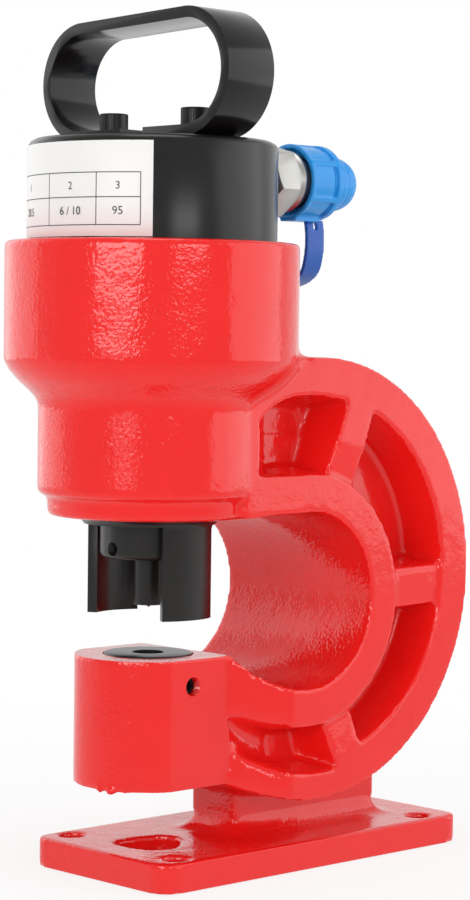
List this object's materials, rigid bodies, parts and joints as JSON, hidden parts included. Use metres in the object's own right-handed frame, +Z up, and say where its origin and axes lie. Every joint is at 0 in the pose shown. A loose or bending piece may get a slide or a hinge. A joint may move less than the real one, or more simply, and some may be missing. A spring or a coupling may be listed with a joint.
{
  "type": "hydraulic hole punch",
  "caption": "Bench hydraulic hole punch: red cast C-frame on a bolt-down base, die in the anvil, hydraulic cylinder with carrying handle, quick coupler and blue dust cap.",
  "frame": {"origin": "centre of the base plate's underside, on the bench", "axes": "+Z up along the punch line's direction, +X from the front of the base, under the cylinder, to the back of the C-frame and along the coupler, +Y to the left of someone who faces the front"},
  "size_m": [0.2288, 0.1314, 0.3827],
  "materials": {
    "red_paint": "thick glossy red enamel on a casting",
    "black_oxide": "blackened steel, satin",
    "label": "pale film sticker",
    "nickel": "nickel plating",
    "blue_plastic": "semi-gloss blue moulded plastic",
    "steel": "ground steel",
    "bronze": "machined bronze",
    "seal": "black nitrile rubber",
    "spring_steel": "oiled spring wire"
  },
  "bodies": {
    "body": {"frame_casting": "red_paint", "cylinder_barrel": "black_oxide", "name_plate": "label", "handle_strap": "black_oxide", "handle_screw_left": "black_oxide", "handle_screw_right": "black_oxide", "stripper": "black_oxide", "die": "black_oxide", "die_set_screw": "black_oxide", "guide_bush": "bronze", "rod_wiper": "seal", "spring_seat_washer": "steel", "return_spring": "spring_steel", "coupler_seal_washer": "seal", "coupler_body": "nickel", "coupler_spring": "spring_steel", "coupler_spring_seat": "steel", "dust_cap_tether": "blue_plastic"},
    "ram": {"piston": "steel", "piston_seal": "seal", "piston_backup_ring": "bronze", "piston_wear_ring": "bronze", "ram": "black_oxide", "punch": "black_oxide", "punch_set_screw": "black_oxide"},
    "cap": {"dust_cap": "blue_plastic"},
    "poppet": {"coupler_poppet": "steel"}
  },
  "joints": [
    {"name": "ram_slide", "type": "slide", "parent": "body", "child": "ram", "axis": [0, 0, -1], "range_m": [0, 0.025], "stiffness_N_per_m": 12000, "springref_m": -0.03, "deforming": ["return_spring"]},
    {"name": "dust_cap_pull", "type": "slide", "parent": "body", "child": "cap", "axis": [1, 0, 0], "range_m": [0, 0.03], "deforming": ["dust_cap_tether"]},
    {"name": "poppet_slide", "type": "slide", "parent": "body", "child": "poppet", "axis": [-1, 0, 0], "range_m": [0, 0.003], "stiffness_N_per_m": 1500, "springref_m": -0.004, "deforming": ["coupler_spring"]}
  ]
}
